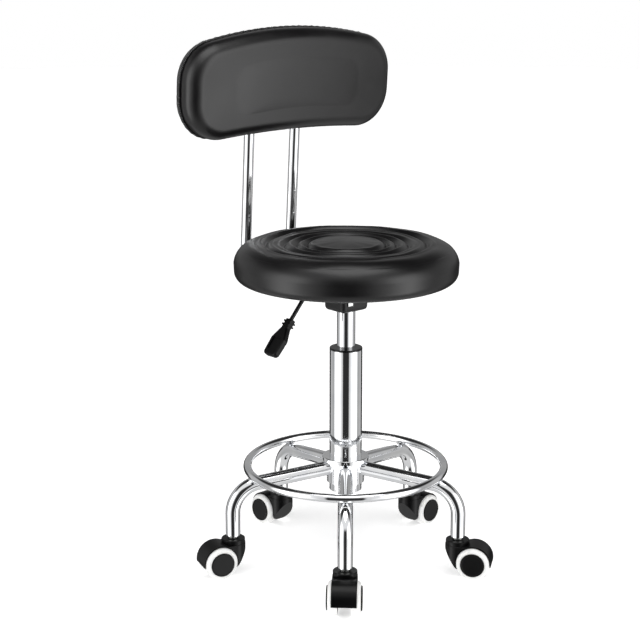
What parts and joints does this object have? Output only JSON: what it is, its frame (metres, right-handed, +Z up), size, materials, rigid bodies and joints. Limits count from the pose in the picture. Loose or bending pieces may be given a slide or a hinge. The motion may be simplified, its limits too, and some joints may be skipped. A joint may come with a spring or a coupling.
{
  "type": "rolling stylist stool",
  "caption": "Height adjustable round swivel stool with a padded seat, small back pad, foot ring, release lever and a five legged caster base.",
  "frame": {"origin": "on the floor, on the axis of the column", "axes": "+Z up the column, -Y the way the sitter faces, +Y towards the back pad, +X the sitter's left"},
  "size_m": [0.4524, 0.4417, 0.8171],
  "materials": {
    "chrome": "bright chrome plated steel",
    "bright_zinc": "bright zinc plated steel",
    "bearing_steel": "ground steel with a trace of oil",
    "black_steel": "satin black powder coat",
    "guide_black": "smooth black acetal",
    "black_plastic": "satin moulded black nylon",
    "white_tyre": "smooth off-white polyurethane",
    "black_leather": "semi-gloss black synthetic leather with fine grain",
    "foam": "open cell polyurethane foam",
    "plywood": "plain birch plywood"
  },
  "bodies": {
    "base": {"hub": "chrome", "leg_1": "chrome", "leg_2": "chrome", "leg_3": "chrome", "leg_4": "chrome", "leg_5": "chrome", "foot_ring": "chrome", "column_tube": "chrome", "column_guide_bush": "guide_black", "stem_sockets": "bright_zinc", "caster_stems": "bright_zinc", "thrust_bearing": "bearing_steel"},
    "lift_rod": {"lift_rod": "bearing_steel", "rod_clip": "bearing_steel"},
    "seat": {"lift_cylinder": "chrome", "mechanism_box": "black_steel", "mechanism_socket": "black_steel", "lever_pin": "bright_zinc", "seat_board": "plywood", "seat_foam": "foam", "seat_cover": "black_leather", "seat_screws": "bright_zinc", "back_tube": "chrome", "tube_clamps": "black_steel", "back_board": "plywood", "back_foam": "foam", "back_cover": "black_leather"},
    "lever": {"lever_rod": "black_steel", "lever_handle": "black_plastic"},
    "valve": {"valve_pin": "bearing_steel"},
    "caster_1": {"caster_1_hood": "black_plastic", "caster_1_axle": "bearing_steel"},
    "wheel_1_left": {"caster_1_left_tyre": "white_tyre", "caster_1_left_hub": "black_plastic"},
    "wheel_1_right": {"caster_1_right_tyre": "white_tyre", "caster_1_right_hub": "black_plastic"},
    "caster_2": {"caster_2_hood": "black_plastic", "caster_2_axle": "bearing_steel"},
    "wheel_2_left": {"caster_2_left_tyre": "white_tyre", "caster_2_left_hub": "black_plastic"},
    "wheel_2_right": {"caster_2_right_tyre": "white_tyre", "caster_2_right_hub": "black_plastic"},
    "caster_3": {"caster_3_hood": "black_plastic", "caster_3_axle": "bearing_steel"},
    "wheel_3_left": {"caster_3_left_tyre": "white_tyre", "caster_3_left_hub": "black_plastic"},
    "wheel_3_right": {"caster_3_right_tyre": "white_tyre", "caster_3_right_hub": "black_plastic"},
    "caster_4": {"caster_4_hood": "black_plastic", "caster_4_axle": "bearing_steel"},
    "wheel_4_left": {"caster_4_left_tyre": "white_tyre", "caster_4_left_hub": "black_plastic"},
    "wheel_4_right": {"caster_4_right_tyre": "white_tyre", "caster_4_right_hub": "black_plastic"},
    "caster_5": {"caster_5_hood": "black_plastic", "caster_5_axle": "bearing_steel"},
    "wheel_5_left": {"caster_5_left_tyre": "white_tyre", "caster_5_left_hub": "black_plastic"},
    "wheel_5_right": {"caster_5_right_tyre": "white_tyre", "caster_5_right_hub": "black_plastic"}
  },
  "joints": [
    {"name": "seat_swivel", "type": "hinge", "parent": "base", "child": "lift_rod", "pos_m": [0, 0, 0.128], "axis": [0, 0, 1], "continuous": true},
    {"name": "seat_height", "type": "slide", "parent": "lift_rod", "child": "seat", "axis": [0, 0, 1], "range_m": [-0.05, 0.07]},
    {"name": "lever_pull", "type": "hinge", "parent": "seat", "child": "lever", "pos_m": [-0.014, 0, 0.4325], "axis": [0, 1, 0], "range_deg": [0, 8], "stiffness_Nm_per_rad": 1.2, "springref_deg": -3.44},
    {"name": "valve_press", "type": "slide", "parent": "seat", "child": "valve", "axis": [0, 0, -1], "range_m": [0, 0.0024]},
    {"name": "caster_1_swivel", "type": "hinge", "parent": "base", "child": "caster_1", "pos_m": [-0.1188, -0.13523, 0.057], "axis": [0, 0, 1], "continuous": true},
    {"name": "caster_1_left_spin", "type": "hinge", "parent": "caster_1", "child": "wheel_1_left", "pos_m": [-0.12462, -0.16547, 0.025], "axis": [0.7278, -0.6858, 0], "continuous": true},
    {"name": "caster_1_right_spin", "type": "hinge", "parent": "caster_1", "child": "wheel_1_right", "pos_m": [-0.14864, -0.14283, 0.025], "axis": [0.7278, -0.6858, 0], "continuous": true},
    {"name": "caster_2_swivel", "type": "hinge", "parent": "base", "child": "caster_2", "pos_m": [0.0919, -0.15477, 0.057], "axis": [0, 0, 1], "continuous": true},
    {"name": "caster_2_left_spin", "type": "hinge", "parent": "caster_2", "child": "wheel_2_left", "pos_m": [0.12074, -0.16556, 0.025], "axis": [0.7976, 0.6032, 0], "continuous": true},
    {"name": "caster_2_right_spin", "type": "hinge", "parent": "caster_2", "child": "wheel_2_right", "pos_m": [0.09442, -0.18546, 0.025], "axis": [0.7976, 0.6032, 0], "continuous": true},
    {"name": "caster_3_swivel", "type": "hinge", "parent": "base", "child": "caster_3", "pos_m": [0.1756, 0.03957, 0.057], "axis": [0, 0, 1], "continuous": true},
    {"name": "caster_3_left_spin", "type": "hinge", "parent": "caster_3", "child": "wheel_3_left", "pos_m": [0.19936, 0.05916, 0.025], "axis": [-0.1236, 0.9923, 0], "continuous": true},
    {"name": "caster_3_right_spin", "type": "hinge", "parent": "caster_3", "child": "wheel_3_right", "pos_m": [0.20344, 0.02641, 0.025], "axis": [-0.1236, 0.9923, 0], "continuous": true},
    {"name": "caster_4_swivel", "type": "hinge", "parent": "base", "child": "caster_4", "pos_m": [0.01663, 0.17923, 0.057], "axis": [0, 0, 1], "continuous": true},
    {"name": "caster_4_left_spin", "type": "hinge", "parent": "caster_4", "child": "wheel_4_left", "pos_m": [-0.00112, 0.20439, 0.025], "axis": [-0.9988, -0.0489, 0], "continuous": true},
    {"name": "caster_4_right_spin", "type": "hinge", "parent": "caster_4", "child": "wheel_4_right", "pos_m": [0.03184, 0.206, 0.025], "axis": [-0.9988, -0.0489, 0], "continuous": true},
    {"name": "caster_5_swivel", "type": "hinge", "parent": "base", "child": "caster_5", "pos_m": [-0.16532, 0.0712, 0.057], "axis": [0, 0, 1], "continuous": true},
    {"name": "caster_5_left_spin", "type": "hinge", "parent": "caster_5", "child": "wheel_5_left", "pos_m": [-0.19491, 0.06266, 0.025], "axis": [-0.2807, -0.9598, 0], "continuous": true},
    {"name": "caster_5_right_spin", "type": "hinge", "parent": "caster_5", "child": "wheel_5_right", "pos_m": [-0.18564, 0.09433, 0.025], "axis": [-0.2807, -0.9598, 0], "continuous": true}
  ],
  "couplings": [
    {"joint": "valve_press", "follows": "lever_pull", "m_per_rad": 0.0164}
  ]
}
